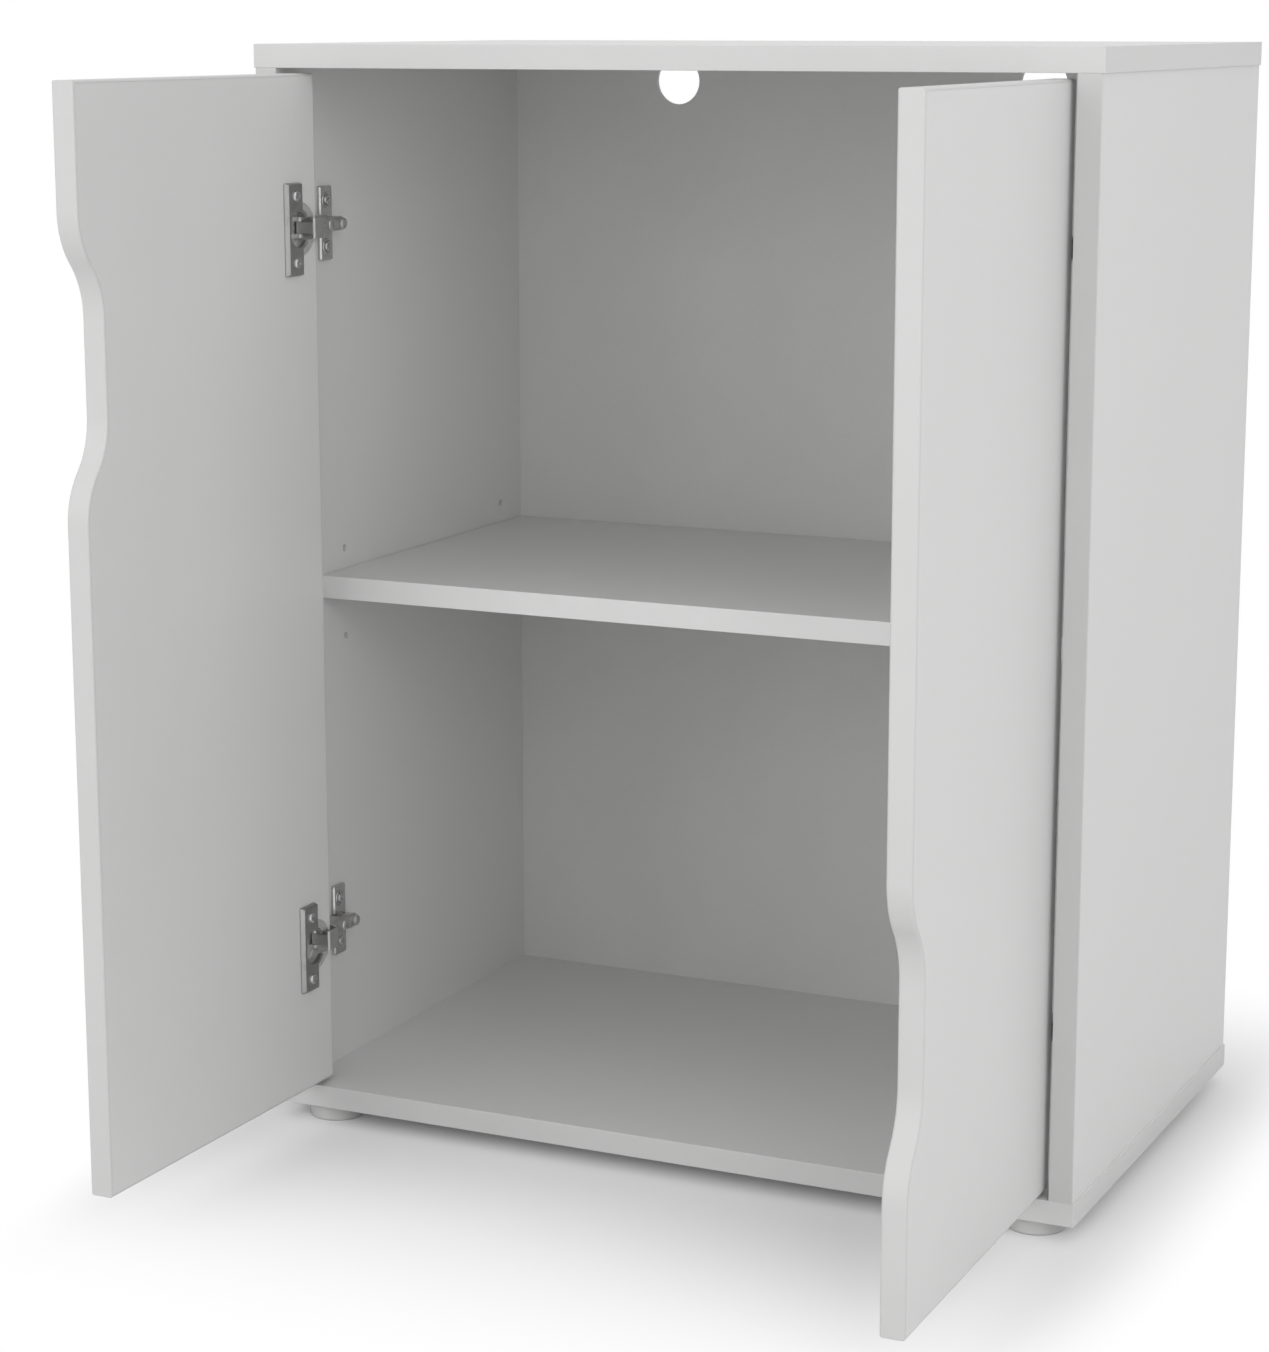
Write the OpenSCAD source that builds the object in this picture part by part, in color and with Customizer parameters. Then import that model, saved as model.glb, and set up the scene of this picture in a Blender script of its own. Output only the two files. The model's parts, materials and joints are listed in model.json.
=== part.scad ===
// Two-door filing cabinet on four glides, with one shelf and inset doors.
// Millimetres, +Z up. Both doors stand open as they do at rest. The origin is on the floor,
// at the middle of the box that holds the cabinet with its doors open.

/* [Carcass] */
// Overall width, over the top board
cabinet_w = 600; // [540:1:760]
// Depth of the boards, front edge to back edge
cabinet_d = 370; // [330:1:460]
// Overall height, floor to top
cabinet_h = 765; // [660:1:900]
// Thickness of every board
board_t = 16; // [15:0.5:17]
// How far the top and bottom boards stand past each side board
overhang = 1.5; // [0.5:0.5:6]
// Thickness of the edge band on the carcass boards
band_t = 1; // [0.5:0.5:2]

/* [Back] */
// Thickness of the back panel
back_t = 3; // [3:0.5:5]
// Distance from the carcass's back edge to the back panel
back_inset = 10; // [8:0.5:20]
// How deep the back panel's grooves are
groove_depth = 7; // [5:0.5:9]
// Diameter of the two cable holes
cable_hole_d = 35; // [20:0.5:50]
// Distance between the centres of the cable holes
cable_hole_spacing = 290; // [200:1:380]
// Distance from the top board's underside down to the edge of a cable hole, which may run up
// into the groove
cable_hole_margin = -3.5; // [-4:0.5:60]

/* [Shelf] */
// Height of the shelf's top above the upper face of the bottom board
shelf_level = 364; // [250:1:450]
// Distance from the cabinet's front down to the shelf's front edge
shelf_setback = 45.5; // [40:0.5:80]
// Gap between the shelf and the side boards, and between the shelf and the back
shelf_gap = 0.5; // [0.3:0.1:2]
// Distance from the shelf's front and back edges to its supports
support_inset = 34; // [25:0.5:80]
// Diameter of the support holes
peg_hole_d = 5; // [4:0.5:7]
// Depth of the support holes
peg_hole_depth = 10; // [8:0.5:12]
// Distance from one support hole to the next above it
peg_pitch = 32; // [24:1:50]
// How far a support's tongue reaches under the shelf
tongue_l = 9; // [6:0.5:14]
// Width of a support's tongue
tongue_w = 11; // [8:0.5:16]
// Thickness of a support's tongue
tongue_t = 2; // [1.4:0.1:2.5]
// How far the round peg goes on under the tongue
peg_stub_l = 7; // [4:0.5:9]
// Height of the tongue's upper face above the hole's axis
tongue_rise = 1; // [0.5:0.1:1.5]

/* [Doors] */
// Gap between the two closed doors
centre_gap = 3; // [2:0.5:6]
// Gap above and below a door
end_gap = 3.5; // [2:0.5:6]
// Thickness of the edge band round a door
door_band_t = 2; // [1:0.5:3]
// Angle from closed at which the doors stand open
open_angle = 90.8; // [88:0.1:100]
// Depth of the wave cut in a door's free edge, which is its handle
cut_depth = 24; // [16:0.5:30]
// Length of the wave cut along the door's edge
cut_l = 194; // [160:1:260]
// Length of the straight floor of the wave cut
cut_flat_l = 62; // [30:1:90]
// Distance from a door's end to the middle of its wave cut
cut_from_end = 176.5; // [140:0.5:240]

/* [Hinges] */
// Distance from a door's end to the centre of the hinge
hinge_from_end = 104; // [70:0.5:130]
// Distance from the door's hinge edge to the pivot
pivot_from_edge = 7.8; // [7.8:0.1:8.5]
// Depth of the pivot below the door's inner face
pivot_depth = 9; // [8.5:0.1:9.2]
// Least distance between a turning door and its side board
swing_clear = 1.3; // [0.3:0.1:1.5]
// Diameter of the cup bore
cup_d = 35; // [34:0.5:37]
// Depth of the cup below the door's inner face
cup_depth = 12.5; // [12.3:0.1:12.8]
// Wall left between the cup bore and the door's hinge edge
cup_tab = 4; // [3.5:0.1:4]
// Thickness of the cup's wall and floor
cup_wall = 0.8; // [0.6:0.1:1]
// Width of the cup's rim outside its wall
rim_w = 0.6; // [0.4:0.1:1.2]
// Thickness of the cup's rim
rim_t = 1; // [0.6:0.1:1.5]
// Length of the cup's flange, from the tip of one wing to the other
flange_l = 63; // [60:0.5:74]
// Width of the cup's flange
flange_w = 21.5; // [16:0.5:24]
// Thickness of the cup's flange
flange_t = 3.5; // [1.5:0.5:4]
// Radius of the flange's corners
flange_corner_r = 2; // [1:0.5:4]
// Distance from the cup's centre to the line of its screws
cup_screw_offset = 9.5; // [9:0.5:11]
// Distance between the two cup screws
cup_screw_spacing = 45; // [44:0.5:50]
// Diameter of the pivot pin
pin_d = 2; // [1.6:0.1:2.2]
// Diameter of the arm's eye round the pin
eye_d = 4.2; // [3.8:0.1:4.6]
// Width of the cup's two lugs, which hold the pin
lug_w = 6; // [5:0.5:7]
// Thickness of the lugs
lug_t = 3; // [2:0.5:3.5]
// Metal left in a lug beyond the pin's end
pin_end_wall = 0.6; // [0.4:0.1:1]
// Width of the arm inside the cup
neck_w = 8; // [6:0.5:9]
// Width of the arm over the mounting plate
arm_w = 14; // [13.5:0.5:18]
// Thickness of the arm's metal
arm_t = 1.6; // [1.2:0.1:1.8]
// Length of the arm that stands up past the circle that the door's corner turns in
corner_l = 1.7; // [1.2:0.1:3]
// Length of the arm's crank, which slants from there to its flat web
crank_l = 6.3; // [5:0.1:7]
// Thickness of the arm's two side walls
channel_wall = 1.4; // [1:0.1:2]
// Gap between the arm's side walls and the mounting plate's wings
wing_gap = 1; // [0.4:0.1:2]
// Height of the arm's top above the side board
arm_rise = 14.8; // [13:0.1:17]
// Distance from the cabinet's front to the arm's end
arm_reach = 68; // [64:0.5:76]
// Height of the dome on the arm's end
dome_h = 2.2; // [1:0.1:3]
// Width of the flat edge round the dome
dome_edge = 1.5; // [0.5:0.1:3]
// Length of the mounting plate up the side board
plate_l = 52; // [50:0.5:66]
// Width of the mounting plate's wings
plate_w = 16; // [12:0.5:20]
// Thickness of the mounting plate's wings
plate_t = 3; // [2:0.5:4]
// Radius of the mounting plate's corners
plate_corner_r = 1.5; // [0.5:0.5:4]
// Distance from the cabinet's front to the mounting plate's screws
plate_from_front = 58.5; // [56:0.5:64]
// Distance between the mounting plate's two screws
plate_screw_spacing = 32; // [30:0.5:40]
// Distance from the end of the crank to the mounting plate's bridge
bridge_setback = 2; // [1:0.5:4]
// Distance from the front of the bridge to the adjusting screw
adjusting_screw_inset = 5; // [4:0.5:7]
// Distance from the mounting plate's screws forward to the fixing screw
fixing_screw_ahead = 14; // [11:0.5:15]
// How far the bridge stops short of the arm's end
bridge_stop = 1; // [0.5:0.5:3]

/* [Fixings] */
// Diameter of the dowels
dowel_d = 8; // [6:0.5:9]
// Length of the dowels
dowel_l = 30; // [25:1:40]
// How far a dowel goes into the top or bottom board
dowel_in_board = 12; // [9:0.5:13]
// Distance from the carcass's edges to the first and last dowel
dowel_inset = 50; // [35:1:90]
// Shank diameter of the wood screws
screw_d = 3.5; // [3:0.1:4.2]
// Length of a wood screw's shank in the wood
screw_grip = 11; // [8:0.5:13]
// Head diameter of the wood screws
head_d = 7.5; // [6.5:0.1:8.5]
// Height of the wood screws' heads
head_h = 2; // [1.5:0.1:2.4]
// Shank diameter of the arm's two machine screws
machine_screw_d = 5; // [4:0.1:5.4]
// Length of a machine screw's shank below the arm
machine_screw_grip = 7; // [5:0.5:9]
// Head diameter of the arm's fixing screw
machine_head_d = 8; // [7:0.1:9]
// How far the adjusting screw's end stands out of the arm
adjusting_screw_rise = 1.2; // [1.2:0.1:2]
// Width of a screw's cross recess
recess_w = 0.9; // [0.6:0.1:1.2]
// Length of a screw's cross recess
recess_l = 4; // [3:0.1:4.5]
// Depth of a screw's cross recess
recess_t = 1.1; // [0.8:0.1:1.1]

/* [Glides] */
// Height of a glide
foot_h = 13; // [8:0.5:25]
// Diameter of a glide under the bottom board
foot_d = 42; // [30:1:60]
// How much smaller a glide is at the floor, in diameter
foot_taper = 2; // [0:0.5:6]
// Distance from the bottom board's ends to the glides' centres
foot_inset_x = 34; // [30:0.5:80]
// Distance from the bottom board's front and back to the glides' centres
foot_inset_y = 27.5; // [25:0.5:60]
// Diameter of the recess for a glide's screw
foot_recess_d = 12; // [9:0.5:16]
// Thickness of the glide over its recess
foot_web_t = 5; // [3:0.5:7]

/* [Hidden] */
$fn = 96;

// Clearances
seat_clear = 0.05;    // round a dowel, screw, cup or peg in its hole
hole_end_clear = 0.5; // beyond the tip of what sits in a blind hole
run_clear = 0.05;     // round the pivot pin in the arm's eye
part_clear = 0.3;     // between two pieces that move past each other
groove_clear = 0.1;   // on each face of the back panel in its groove
cut_over = 1;         // how far a cut runs past the face it opens
web_join = 1;         // how far the arm's slanted part runs into its flat web

// Heights and widths of the carcass
base_z = foot_h;
floor_z = base_z + board_t;
ceiling_z = cabinet_h - board_t;
side_face_x = cabinet_w / 2 - overhang - board_t;
back_face_y = cabinet_d - back_inset - back_t;
shelf_top_z = floor_z + shelf_level;
shelf_w = 2 * (side_face_x - shelf_gap);
shelf_d = back_face_y - shelf_gap - shelf_setback;
peg_z = shelf_top_z - board_t - tongue_rise;
peg_ys = [shelf_setback + support_inset, back_face_y - shelf_gap - support_inset];
dowel_ys = [dowel_inset, cabinet_d / 2, cabinet_d - dowel_inset];

// The pivot, from the side board's inner face and from the front. The side gap is what the
// door's outer corner needs to turn past the side board.
pivot_y = board_t - pivot_depth;
side_gap = norm([pivot_from_edge, pivot_y]) - pivot_from_edge + swing_clear;
pivot_x = side_gap + pivot_from_edge;

// Doors
door_w = side_face_x - side_gap - centre_gap / 2;
door_z = floor_z + end_gap;
door_h = ceiling_z - end_gap - door_z;
hinge_zs = [door_z + hinge_from_end, door_z + door_h - hinge_from_end];
cut_slope_l = (cut_l - cut_flat_l) / 2;
cut_r = (pow(cut_slope_l, 2) + pow(cut_depth, 2)) / (4 * cut_depth);

// How far the open doors reach out in front of the carcass
tip = [door_w - pivot_from_edge, pivot_depth];
door_reach = tip[0] * sin(open_angle) - tip[1] * cos(open_angle) - pivot_y;
front_y = (door_reach - cabinet_d) / 2;

// Hinges. Places inside a hinge are measured from the side board's inner face, the front
// and the hinge's centre.
cup_x = side_gap + cup_tab + cup_d / 2;
cup_inner_r = cup_d / 2 - seat_clear - cup_wall;
lug_start = neck_w / 2 + part_clear;
pin_l = 2 * (lug_start + lug_t - pin_end_wall);
turn_r = norm([pivot_from_edge, pivot_depth]) + part_clear * 2;
strip_y = pivot_depth - cup_depth + cup_wall + part_clear;
web_x = arm_rise - arm_t;
crank_y = turn_r + corner_l;
web_start_y = crank_y + crank_l;
bridge_w = arm_w - 2 * channel_wall - 2 * part_clear;
bridge_y0 = pivot_y + web_start_y + bridge_setback;
fixing_screw_y = plate_from_front - fixing_screw_ahead;
adjusting_screw_y = bridge_y0 + adjusting_screw_inset;
dome_y = arm_reach - arm_w / 2;

// Glides
foot_x = cabinet_w / 2 - foot_inset_x;
foot_ys = [foot_inset_y, cabinet_d - foot_inset_y];

// Puts a node in the row's frame: everything below is drawn from the carcass's front plane
module placed() {
    translate([0, front_y, 0]) children();
}

// Draws a shape given from the left side board's inner face, on either side of the cabinet
module at_side(side) {
    mirror([side == "right" ? 1 : 0, 0, 0])
        translate([-side_face_x, 0, 0])
            children();
}

// Turns a closed door, and what is fixed to it, to the angle at which it stands open
module opened() {
    translate([pivot_x, pivot_y, 0])
        rotate([0, 0, -open_angle])
            translate([-pivot_x, -pivot_y, 0])
                children();
}

// A drilled or turned shape whose axis is Z, laid along the cabinet's width or depth
module along_width() {
    rotate([0, 90, 0]) children();
}

module along_depth() {
    rotate([-90, 0, 0]) children();
}

module rounded_rect(w, l, r) {
    square([w - 2 * r, l], center = true);
    square([w, l - 2 * r], center = true);
    for (x = [-1, 1], y = [-1, 1])
        translate([x * (w / 2 - r), y * (l / 2 - r)]) circle(r);
}

// A pan-head screw with a cross recess, its head on Z = 0 and its shank going down
module screw(shank_d, shank_l, cap_d, cap_h) {
    difference() {
        union() {
            cylinder(d = cap_d, h = cap_h);
            translate([0, 0, -shank_l]) cylinder(d = shank_d, h = shank_l + cap_h / 2);
        }
        for (a = [0, 90])
            rotate([0, 0, a])
                translate([-recess_l / 2, -recess_w / 2, cap_h - recess_t])
                    cube([recess_l, recess_w, recess_t + cut_over]);
    }
}

module wood_screw(through) {
    screw(screw_d, through + screw_grip, head_d, head_h);
}

// The hole that a wood screw cuts for itself, down from Z = 0
module pilot_hole() {
    depth = screw_grip + hole_end_clear;
    translate([0, 0, -depth]) cylinder(d = screw_d + 2 * seat_clear, h = depth + cut_over);
}

// One board that lies across the carcass, or its band, with its lower face at z
module cross_board(z) {
    translate([band_t - cabinet_w / 2, band_t, z])
        cube([cabinet_w - 2 * band_t, cabinet_d - 2 * band_t, board_t]);
}

module cross_band(z) {
    difference() {
        translate([-cabinet_w / 2, 0, z]) cube([cabinet_w, cabinet_d, board_t]);
        translate([band_t - cabinet_w / 2, band_t, z - cut_over])
            cube([cabinet_w - 2 * band_t, cabinet_d - 2 * band_t, board_t + 2 * cut_over]);
    }
}

// The dowels between the side boards and the top or bottom board, or the holes that they need
module dowel_row(low_z, clear, end_clear) {
    for (x = [-1, 1], y = dowel_ys)
        translate([x * (side_face_x + board_t / 2), y, low_z - end_clear])
            cylinder(d = dowel_d + 2 * clear, h = dowel_l + 2 * end_clear);
}

module top_dowel_row(clear, end_clear) {
    dowel_row(ceiling_z + dowel_in_board - dowel_l, clear, end_clear);
}

module bottom_dowel_row(clear, end_clear) {
    dowel_row(floor_z - dowel_in_board, clear, end_clear);
}

// The grooves that hold the back panel, as one slab that every board is cut by
module back_slot() {
    reach = groove_depth;
    translate([-side_face_x - reach, back_face_y - groove_clear, floor_z - reach])
        cube([2 * (side_face_x + reach), back_t + 2 * groove_clear, ceiling_z - floor_z + 2 * reach]);
}

module top_panel() {
    color("whitesmoke") placed() difference() {
        cross_board(ceiling_z);
        back_slot();
        top_dowel_row(seat_clear, hole_end_clear);
    }
}

module top_edge_band() {
    color("white") placed() cross_band(ceiling_z);
}

module bottom_panel() {
    color("whitesmoke") placed() difference() {
        cross_board(base_z);
        back_slot();
        bottom_dowel_row(seat_clear, hole_end_clear);
        for (x = [-1, 1], y = foot_ys)
            translate([x * foot_x, y, base_z]) rotate([180, 0, 0]) pilot_hole();
    }
}

module bottom_edge_band() {
    color("white") placed() cross_band(base_z);
}

// The left side board, which the right one mirrors
module side_board() {
    difference() {
        translate([-side_face_x - board_t, band_t, floor_z])
            cube([board_t, cabinet_d - 2 * band_t, ceiling_z - floor_z]);
        back_slot();
        top_dowel_row(seat_clear, hole_end_clear);
        bottom_dowel_row(seat_clear, hole_end_clear);
        at_side("left") {
            for (y = peg_ys, k = [-1, 0, 1])
                translate([-peg_hole_depth, y, peg_z + k * peg_pitch])
                    along_width() cylinder(d = peg_hole_d, h = peg_hole_depth + cut_over);
            for (z = hinge_zs, s = [-1, 1])
                translate([0, plate_from_front, z + s * plate_screw_spacing / 2])
                    along_width() pilot_hole();
        }
    }
}

module side_bands() {
    for (y = [0, cabinet_d - band_t])
        translate([-side_face_x - board_t, y, floor_z])
            cube([board_t, band_t, ceiling_z - floor_z]);
}

module left_side_panel() {
    color("whitesmoke") placed() side_board();
}

module right_side_panel() {
    color("whitesmoke") placed() mirror([1, 0, 0]) side_board();
}

module left_side_edge_bands() {
    color("white") placed() side_bands();
}

module right_side_edge_bands() {
    color("white") placed() mirror([1, 0, 0]) side_bands();
}

module back_panel() {
    reach = groove_depth - hole_end_clear;
    hole_z = ceiling_z - cable_hole_margin - cable_hole_d / 2;
    color("gainsboro") placed() difference() {
        translate([-side_face_x - reach, back_face_y, floor_z - reach])
            cube([2 * (side_face_x + reach), back_t, ceiling_z - floor_z + 2 * reach]);
        for (s = [-1, 1])
            translate([s * cable_hole_spacing / 2, back_face_y - cut_over, hole_z])
                along_depth() cylinder(d = cable_hole_d, h = back_t + 2 * cut_over);
    }
}

module shelf() {
    color("whitesmoke") placed()
        translate([-shelf_w / 2, shelf_setback + band_t, shelf_top_z - board_t])
            cube([shelf_w, shelf_d - band_t, board_t]);
}

module shelf_edge_band() {
    color("white") placed()
        translate([-shelf_w / 2, shelf_setback, shelf_top_z - board_t])
            cube([shelf_w, band_t, board_t]);
}

// A peg in the side board with a flat tongue that the shelf lies on
module shelf_support() {
    peg_d = peg_hole_d - 2 * seat_clear;
    peg_l = peg_hole_depth - hole_end_clear;
    translate([-peg_l, 0, 0]) along_width() cylinder(d = peg_d, h = peg_l);
    intersection() {
        union() {
            along_width() cylinder(d = peg_d, h = peg_stub_l);
            translate([0, -tongue_w / 2, tongue_rise - tongue_t]) cube([tongue_l, tongue_w, tongue_t]);
        }
        translate([0, -tongue_w, tongue_rise - peg_d]) cube([tongue_l, 2 * tongue_w, peg_d]);
    }
}

module shelf_supports() {
    color("silver") placed()
        for (side = ["left", "right"], y = peg_ys)
            at_side(side) translate([0, y, peg_z]) shelf_support();
}

module top_dowels() {
    color("burlywood") placed() top_dowel_row(0, 0);
}

module bottom_dowels() {
    color("burlywood") placed() bottom_dowel_row(0, 0);
}

// A round plastic glide, with a recess underneath for the screw that holds it
module glide(x, y) {
    color("gainsboro") placed() translate([x, y, 0]) difference() {
        cylinder(d1 = foot_d - foot_taper, d2 = foot_d, h = foot_h);
        translate([0, 0, -cut_over])
            cylinder(d = foot_recess_d, h = foot_h - foot_web_t + cut_over);
        cylinder(d = screw_d + 2 * seat_clear, h = foot_h + cut_over);
    }
}

module glide_screws() {
    color("silver") placed()
        for (x = [-1, 1], y = foot_ys)
            translate([x * foot_x, y, foot_h - foot_web_t])
                rotate([180, 0, 0]) wood_screw(foot_web_t);
}

// The air of the wave cut, from its middle upwards: a straight floor, then two equal arcs that
// run out into the door's edge. grow moves its whole outline into the door.
module half_wave(grow) {
    hollow = [door_w - cut_depth + cut_r, cut_flat_l / 2];
    crest = [door_w - cut_r, cut_l / 2];
    toward = (crest - hollow) / norm(crest - hollow);
    floor_end = [door_w - cut_depth - grow, cut_flat_l / 2];
    turn = hollow + (cut_r + grow) * toward;
    run_out = [door_w - grow, cut_l / 2];
    difference() {
        union() {
            polygon([[floor_end[0], 0], floor_end, turn, run_out,
                [door_w + cut_over, cut_l / 2], [door_w + cut_over, 0]]);
            intersection() {
                translate(hollow) circle(cut_r + grow);
                polygon([hollow, 2 * floor_end - hollow, 2 * turn - hollow]);
            }
        }
        translate(crest) circle(cut_r - grow);
    }
}

// A door's outline, drawn in by inset, with its wave cut centred at the height cut_z
module door_outline(inset, cut_z) {
    difference() {
        translate([inset, inset]) square([door_w - 2 * inset, door_h - 2 * inset]);
        translate([0, cut_z]) {
            half_wave(inset);
            mirror([0, 1]) half_wave(inset);
        }
    }
}

// Stands a door's outline up as a closed door
module door_slab() {
    translate([side_gap, board_t, door_z])
        rotate([90, 0, 0])
            linear_extrude(board_t)
                children();
}

// Both doors are one board: the right one is turned over, so its wave cut is the lower one
function cut_z(side) = side == "left" ? door_h - cut_from_end : cut_from_end;

module door_panel(side) {
    color("whitesmoke") placed() at_side(side) opened() difference() {
        door_slab() door_outline(door_band_t, cut_z(side));
        for (z = hinge_zs)
            translate([cup_x, board_t, z]) along_depth() {
                translate([0, 0, -cup_depth - seat_clear])
                    cylinder(d = cup_d, h = cup_depth + seat_clear + cut_over);
                for (s = [-1, 1])
                    translate([cup_screw_offset, s * cup_screw_spacing / 2, 0]) pilot_hole();
            }
    }
}

module door_band(side) {
    color("white") placed() at_side(side) opened() door_slab() difference() {
        door_outline(0, cut_z(side));
        door_outline(door_band_t, cut_z(side));
    }
}

// The cup in the door: a deep drawn pot with a rim, a flange with two wings, and inside it the
// two lugs that hold the pivot pin
module hinge_cup() {
    pot_d = cup_d - 2 * seat_clear;
    pivot_at = cup_tab + cup_d / 2 - pivot_from_edge;
    lug_top = eye_d / 2 - pivot_depth;
    translate([cup_x, board_t, 0]) along_depth() difference() {
        union() {
            difference() {
                union() {
                    translate([0, 0, -cup_depth]) cylinder(d = pot_d, h = cup_depth + rim_t);
                    cylinder(d = cup_d + 2 * rim_w, h = rim_t);
                    translate([cup_screw_offset, 0, 0])
                        linear_extrude(flange_t) rounded_rect(flange_w, flange_l, flange_corner_r);
                }
                translate([0, 0, cup_wall - cup_depth])
                    cylinder(r = cup_inner_r, h = cup_depth + flange_t + cut_over);
            }
            intersection() {
                translate([0, 0, -cup_depth]) cylinder(d = pot_d, h = cup_depth);
                for (s = [0, 1])
                    mirror([0, s, 0])
                        translate([-pivot_at - lug_w / 2, lug_start, -cup_depth])
                            cube([lug_w, lug_t, lug_top + cup_depth]);
            }
        }
        translate([-pivot_at, 0, -pivot_depth]) rotate([90, 0, 0])
            cylinder(d = pin_d + 2 * seat_clear, h = pin_l + 2 * seat_clear, center = true);
        for (s = [-1, 1])
            translate([cup_screw_offset, s * cup_screw_spacing / 2, -cut_over])
                cylinder(d = screw_d + 2 * seat_clear, h = flange_t + 2 * cut_over);
    }
}

// The arm: an eye round the pin, a strip along the cup's floor, a crank that carries it round
// the door's corner, and a channel over the mounting plate that ends in a dome
module hinge_arm() {
    outer = turn_r + arm_t;
    web_out = arm_rise - pivot_x;
    web_in = web_x - pivot_x;
    web_y0 = pivot_y + web_start_y;
    join_y = web_start_y + web_join;
    dome_d = arm_w - 2 * dome_edge;
    wall_x = plate_t + wing_gap;
    wall_l = dome_y - web_join - bridge_y0;
    difference() {
        union() {
            translate([pivot_x, pivot_y, 0]) {
                cylinder(d = eye_d, h = neck_w, center = true);
                translate([0, strip_y, -neck_w / 2]) cube([outer, arm_t, neck_w]);
                linear_extrude(arm_w, center = true)
                    polygon([[turn_r, strip_y], [outer, strip_y], [outer, crank_y],
                        [web_out, web_start_y], [web_out, join_y], [web_in, join_y],
                        [web_in, web_start_y - arm_t / 2], [turn_r, crank_y - arm_t / 2]]);
            }
            translate([web_x, 0, 0]) rotate([90, 0, 90]) linear_extrude(arm_t) {
                translate([web_y0, -arm_w / 2]) square([dome_y - web_y0, arm_w]);
                translate([dome_y, 0]) circle(d = arm_w);
            }
            translate([web_x + arm_t / 2, dome_y, 0]) along_width()
                cylinder(d1 = dome_d, d2 = dome_d / 2, h = arm_t / 2 + dome_h);
            for (s = [0, 1])
                mirror([0, 0, s])
                    translate([wall_x, bridge_y0, arm_w / 2 - channel_wall])
                        cube([web_x + arm_t / 2 - wall_x, wall_l, channel_wall]);
        }
        translate([pivot_x, pivot_y, 0])
            cylinder(d = pin_d + 2 * run_clear, h = neck_w + 2 * cut_over, center = true);
        translate([web_x - cut_over, fixing_screw_y, 0]) along_width()
            cylinder(d = machine_screw_d + 2 * part_clear, h = arm_t + 2 * cut_over);
        translate([web_x - cut_over, adjusting_screw_y, 0]) along_width()
            cylinder(d = machine_screw_d + 2 * seat_clear, h = arm_t + 2 * cut_over);
    }
}

// The plate on the side board: two wings, and the bridge that the arm sits astride
module mounting_plate() {
    difference() {
        union() {
            translate([0, plate_from_front, 0]) rotate([90, 0, 90])
                linear_extrude(plate_t) rounded_rect(plate_w, plate_l, plate_corner_r);
            translate([0, bridge_y0, -bridge_w / 2])
                cube([web_x, arm_reach - bridge_stop - bridge_y0, bridge_w]);
        }
        for (s = [-1, 1])
            translate([-cut_over, plate_from_front, s * plate_screw_spacing / 2])
                along_width() cylinder(d = screw_d + 2 * seat_clear, h = plate_t + 2 * cut_over);
        for (y = [fixing_screw_y, adjusting_screw_y])
            translate([web_x - machine_screw_grip - hole_end_clear, y, 0]) along_width()
                cylinder(d = machine_screw_d + 2 * seat_clear, h = web_x);
    }
}

module on_root(side, z) {
    color("silver") placed() at_side(side) translate([0, 0, z]) children();
}

module on_door(side, z) {
    color("silver") placed() at_side(side) opened() translate([0, 0, z]) children();
}

module hinge_pins(side) {
    for (z = hinge_zs)
        on_door(side, z)
            translate([pivot_x, pivot_y, 0]) cylinder(d = pin_d, h = pin_l, center = true);
}

module cup_screws(side) {
    for (z = hinge_zs, s = [-1, 1])
        on_door(side, z)
            translate([cup_x + cup_screw_offset, board_t + flange_t, s * cup_screw_spacing / 2])
                along_depth() wood_screw(flange_t);
}

module mounting_plate_screws() {
    for (side = ["left", "right"], z = hinge_zs, s = [-1, 1])
        on_root(side, z)
            translate([plate_t, plate_from_front, s * plate_screw_spacing / 2])
                along_width() wood_screw(plate_t);
}

module arm_fixing_screws() {
    for (side = ["left", "right"], z = hinge_zs)
        on_root(side, z)
            translate([arm_rise, fixing_screw_y, 0]) along_width()
                screw(machine_screw_d, arm_t + machine_screw_grip, machine_head_d, head_h);
}

module arm_adjusting_screws() {
    for (side = ["left", "right"], z = hinge_zs)
        on_root(side, z)
            translate([arm_rise, adjusting_screw_y, 0]) along_width()
                screw(machine_screw_d, arm_t + machine_screw_grip, machine_screw_d,
                    adjusting_screw_rise);
}

top_panel();
top_edge_band();
bottom_panel();
bottom_edge_band();
left_side_panel();
left_side_edge_bands();
right_side_panel();
right_side_edge_bands();
back_panel();
shelf();
shelf_edge_band();
shelf_supports();
top_dowels();
bottom_dowels();
glide(-foot_x, foot_ys[0]);  // glide_front_left
glide(foot_x, foot_ys[0]);  // glide_front_right
glide(-foot_x, foot_ys[1]);  // glide_back_left
glide(foot_x, foot_ys[1]);  // glide_back_right
glide_screws();
door_panel("left");  // left_door_panel
door_band("left");  // left_door_edge_band
door_panel("right");  // right_door_panel
door_band("right");  // right_door_edge_band
on_door("left", hinge_zs[1]) hinge_cup();  // left_upper_hinge_cup
on_door("left", hinge_zs[0]) hinge_cup();  // left_lower_hinge_cup
on_door("right", hinge_zs[1]) hinge_cup();  // right_upper_hinge_cup
on_door("right", hinge_zs[0]) hinge_cup();  // right_lower_hinge_cup
on_root("left", hinge_zs[1]) hinge_arm();  // left_upper_hinge_arm
on_root("left", hinge_zs[0]) hinge_arm();  // left_lower_hinge_arm
on_root("right", hinge_zs[1]) hinge_arm();  // right_upper_hinge_arm
on_root("right", hinge_zs[0]) hinge_arm();  // right_lower_hinge_arm
on_root("left", hinge_zs[1]) mounting_plate();  // left_upper_mounting_plate
on_root("left", hinge_zs[0]) mounting_plate();  // left_lower_mounting_plate
on_root("right", hinge_zs[1]) mounting_plate();  // right_upper_mounting_plate
on_root("right", hinge_zs[0]) mounting_plate();  // right_lower_mounting_plate
hinge_pins("left");  // left_hinge_pins
hinge_pins("right");  // right_hinge_pins
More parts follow.
